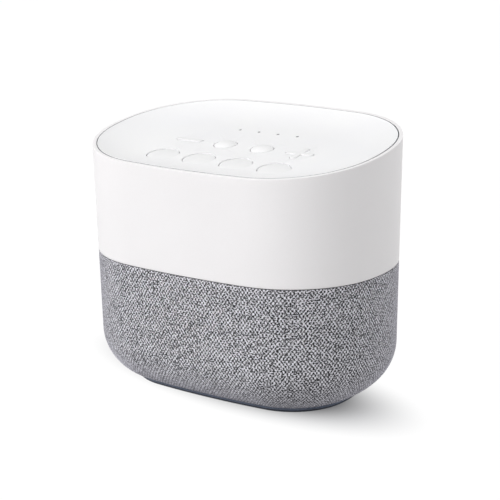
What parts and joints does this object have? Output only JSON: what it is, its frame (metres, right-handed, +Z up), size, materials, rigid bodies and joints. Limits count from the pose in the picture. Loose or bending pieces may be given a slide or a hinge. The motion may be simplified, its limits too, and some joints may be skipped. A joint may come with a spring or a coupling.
{
  "type": "white noise sound machine",
  "caption": "Bedside white noise sound machine: bowed oval body with a white upper housing, dished sloping key panel and a heathered cloth lower half over the speaker.",
  "frame": {"origin": "on the floor, under the middle of the body", "axes": "+X to the right along the long side, +Y to the back, +Z up; the keys face up and the panel falls towards -Y"},
  "size_m": [0.11, 0.075, 0.092],
  "materials": {
    "white_plastic": "satin moulded",
    "panel_plastic": "satin moulded",
    "key_plastic": "satin moulded",
    "light_pipe": "polished, smoky",
    "silicone": "translucent moulded",
    "circuit_board": "solder mask",
    "led_body": "clear epoxy",
    "screw_steel": "zinc plated",
    "socket_plastic": "moulded",
    "ribbon": "laminated film",
    "chip_epoxy": "moulded epoxy",
    "capacitor_can": "drawn can",
    "ferrite": "sintered",
    "inlet_steel": "nickel plated",
    "dark_plastic": "moulded",
    "gasket_foam": "closed-cell foam",
    "heather_cloth": "heathered grey weave",
    "base_plastic": "moulded",
    "foot_rubber": "moulded",
    "basket_steel": "powder coated",
    "surround_rubber": "moulded",
    "cone_paper": "pressed fibre",
    "coil_copper": "enamelled wire",
    "spider_cloth": "resin-treated cloth",
    "plated_steel": "zinc plated",
    "tab_board": "phenolic board",
    "wire_plastic": "extruded sleeve"
  },
  "bodies": {
    "housing": {"upper_housing": "white_plastic", "top_panel": "panel_plastic", "light_pipes": "light_pipe", "keypad_mat": "silicone", "key_board": "circuit_board", "indicator_leds": "led_body", "key_board_screws": "screw_steel", "ribbon_sockets": "socket_plastic", "ribbon_cable": "ribbon", "main_board": "circuit_board", "main_board_screws": "screw_steel", "processor_chip": "chip_epoxy", "memory_chip": "chip_epoxy", "amplifier_chip": "chip_epoxy", "filter_capacitors": "capacitor_can", "power_inductor": "ferrite", "speaker_connector": "socket_plastic", "inlet_shell": "inlet_steel", "inlet_tongue": "dark_plastic", "speaker_deck": "dark_plastic", "housing_screws": "screw_steel", "seam_gasket": "gasket_foam", "grille_shell": "dark_plastic", "cloth_sleeve": "heather_cloth", "base_plate": "base_plastic", "base_screws": "screw_steel", "foot_ring": "foot_rubber", "speaker_gasket": "gasket_foam", "speaker_frame": "basket_steel", "speaker_surround": "surround_rubber", "spider": "spider_cloth", "magnet_plate": "plated_steel", "magnet": "ferrite", "pole_yoke": "plated_steel", "speaker_screws": "screw_steel", "terminal_tab": "tab_board", "speaker_leads": "wire_plastic"},
    "sound_key_1": {"sound_key_1": "key_plastic"},
    "sound_key_2": {"sound_key_2": "key_plastic"},
    "sound_key_3": {"sound_key_3": "key_plastic"},
    "sound_key_4": {"sound_key_4": "key_plastic"},
    "timer_key": {"timer_key": "key_plastic"},
    "power_key": {"power_key": "key_plastic"},
    "volume_down_key": {"volume_down_key": "key_plastic"},
    "volume_up_key": {"volume_up_key": "key_plastic"},
    "cone": {"speaker_cone": "cone_paper", "dust_cap": "cone_paper", "voice_coil": "coil_copper"}
  },
  "joints": [
    {"name": "sound_key_1_press", "type": "slide", "parent": "housing", "child": "sound_key_1", "axis": [0, 0.1323, -0.9912], "range_m": [0, 0.0008], "stiffness_N_per_m": 400, "springref_m": -0.0004, "deforming": ["keypad_mat"]},
    {"name": "sound_key_2_press", "type": "slide", "parent": "housing", "child": "sound_key_2", "axis": [0, 0.1323, -0.9912], "range_m": [0, 0.0008], "stiffness_N_per_m": 400, "springref_m": -0.0004, "deforming": ["keypad_mat"]},
    {"name": "sound_key_3_press", "type": "slide", "parent": "housing", "child": "sound_key_3", "axis": [0, 0.1323, -0.9912], "range_m": [0, 0.0008], "stiffness_N_per_m": 400, "springref_m": -0.0004, "deforming": ["keypad_mat"]},
    {"name": "sound_key_4_press", "type": "slide", "parent": "housing", "child": "sound_key_4", "axis": [0, 0.1323, -0.9912], "range_m": [0, 0.0008], "stiffness_N_per_m": 400, "springref_m": -0.0004, "deforming": ["keypad_mat"]},
    {"name": "timer_key_press", "type": "slide", "parent": "housing", "child": "timer_key", "axis": [0, 0.1323, -0.9912], "range_m": [0, 0.0008], "stiffness_N_per_m": 400, "springref_m": -0.0004, "deforming": ["keypad_mat"]},
    {"name": "power_key_press", "type": "slide", "parent": "housing", "child": "power_key", "axis": [0, 0.1323, -0.9912], "range_m": [0, 0.0008], "stiffness_N_per_m": 400, "springref_m": -0.0004, "deforming": ["keypad_mat"]},
    {"name": "volume_down_key_press", "type": "slide", "parent": "housing", "child": "volume_down_key", "axis": [0, 0.1323, -0.9912], "range_m": [0, 0.0008], "stiffness_N_per_m": 400, "springref_m": -0.0004, "deforming": ["keypad_mat"]},
    {"name": "volume_up_key_press", "type": "slide", "parent": "housing", "child": "volume_up_key", "axis": [0, 0.1323, -0.9912], "range_m": [0, 0.0008], "stiffness_N_per_m": 400, "springref_m": -0.0004, "deforming": ["keypad_mat"]},
    {"name": "cone_travel", "type": "slide", "parent": "housing", "child": "cone", "axis": [0, -1, 0], "range_m": [-0.0008, 0.0008], "stiffness_N_per_m": 1000, "deforming": ["speaker_surround", "spider"]}
  ]
}
